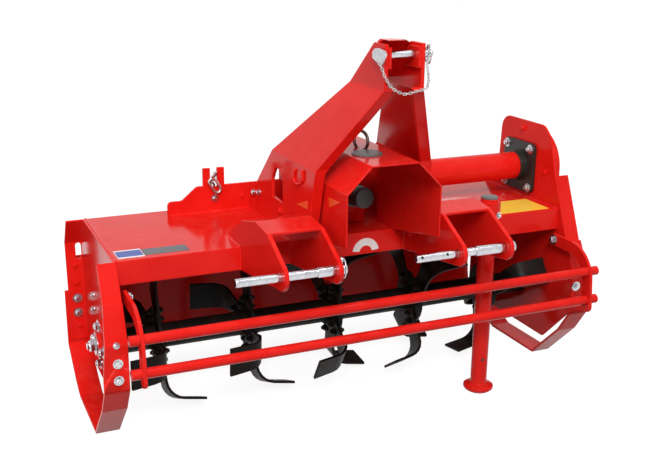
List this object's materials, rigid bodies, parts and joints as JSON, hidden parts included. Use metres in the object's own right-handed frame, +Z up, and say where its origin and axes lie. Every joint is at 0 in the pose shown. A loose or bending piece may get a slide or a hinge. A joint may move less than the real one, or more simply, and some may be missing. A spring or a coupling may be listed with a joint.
{
  "type": "rotary tiller",
  "caption": "Tractor-mounted rotary tiller with bladed rotor under a hood, side skids, hitch mast, side gear drive, front guard, hinged tailboard and parking stand.",
  "frame": {"origin": "on the floor under the middle of the bounding box", "axes": "+Z up, -Y towards the tractor, +X the machine's left, where its side drive is"},
  "size_m": [1.536, 1.0192, 1.099],
  "materials": {
    "red_paint": "glossy red enamel",
    "black_paint": "semi-gloss black paint",
    "rotor_paint": "dull black paint",
    "blade_steel": "black-dipped forged steel",
    "zinc_steel": "bright zinc plating",
    "chain_steel": "zinc-plated chain",
    "shaft_steel": "dark oiled steel",
    "black_plastic": "moulded black plastic"
  },
  "bodies": {
    "frame": {"bearing_housing": "red_paint", "drive_tube": "red_paint", "gear_case": "red_paint", "gearbox": "red_paint", "hitch_bracket_left": "red_paint", "hitch_bracket_right": "red_paint", "hitch_pin_left": "zinc_steel", "hitch_pin_right": "zinc_steel", "hood_deck": "red_paint", "mast_arm_left": "red_paint", "mast_arm_right": "red_paint", "mast_head": "red_paint", "pto_shield": "red_paint", "rear_beam": "red_paint", "shaft_seal": "black_plastic", "side_plate_left": "red_paint", "side_plate_right": "red_paint", "skid_left": "red_paint", "skid_right": "red_paint", "stand_sleeve": "red_paint", "tail_chain_left": "chain_steel", "tail_chain_right": "chain_steel", "tail_hinge": "red_paint", "top_link_pin": "zinc_steel", "tube_flange": "black_paint"},
    "rotor": {"blade_set_1": "blade_steel", "blade_set_2": "blade_steel", "blade_set_3": "blade_steel", "blade_set_4": "blade_steel", "blade_set_5": "blade_steel", "rotor_tube": "rotor_paint"},
    "input": {"input_shaft": "shaft_steel"},
    "guard": {"guard_arm_left": "red_paint", "guard_arm_right": "red_paint", "guard_bar_lower": "red_paint", "guard_bar_upper": "red_paint"},
    "tailboard": {"tailboard": "red_paint"},
    "stand": {"stand_tube": "red_paint"}
  },
  "joints": [
    {"name": "rotor_spin", "type": "hinge", "parent": "frame", "child": "rotor", "pos_m": [0, 0.014, 0.22], "axis": [1, 0, 0], "continuous": true},
    {"name": "input_spin", "type": "hinge", "parent": "frame", "child": "input", "pos_m": [-0.028, 0.043, 0.622], "axis": [0, -0.9954, 0.0958], "continuous": true},
    {"name": "guard_hinge", "type": "hinge", "parent": "frame", "child": "guard", "pos_m": [0, -0.191, 0.43], "axis": [-1, 0, 0], "range_deg": [0, 20]},
    {"name": "tailboard_hinge", "type": "hinge", "parent": "frame", "child": "tailboard", "pos_m": [0, 0.346, 0.396], "axis": [1, 0, 0], "range_deg": [0, 35], "deforming": ["tail_chain_left", "tail_chain_right"]},
    {"name": "stand_slide", "type": "slide", "parent": "frame", "child": "stand", "axis": [0, 0, 1], "range_m": [0, 0.2]}
  ],
  "couplings": [
    {"joint": "input_spin", "follows": "rotor_spin", "ratio": 2.45}
  ]
}
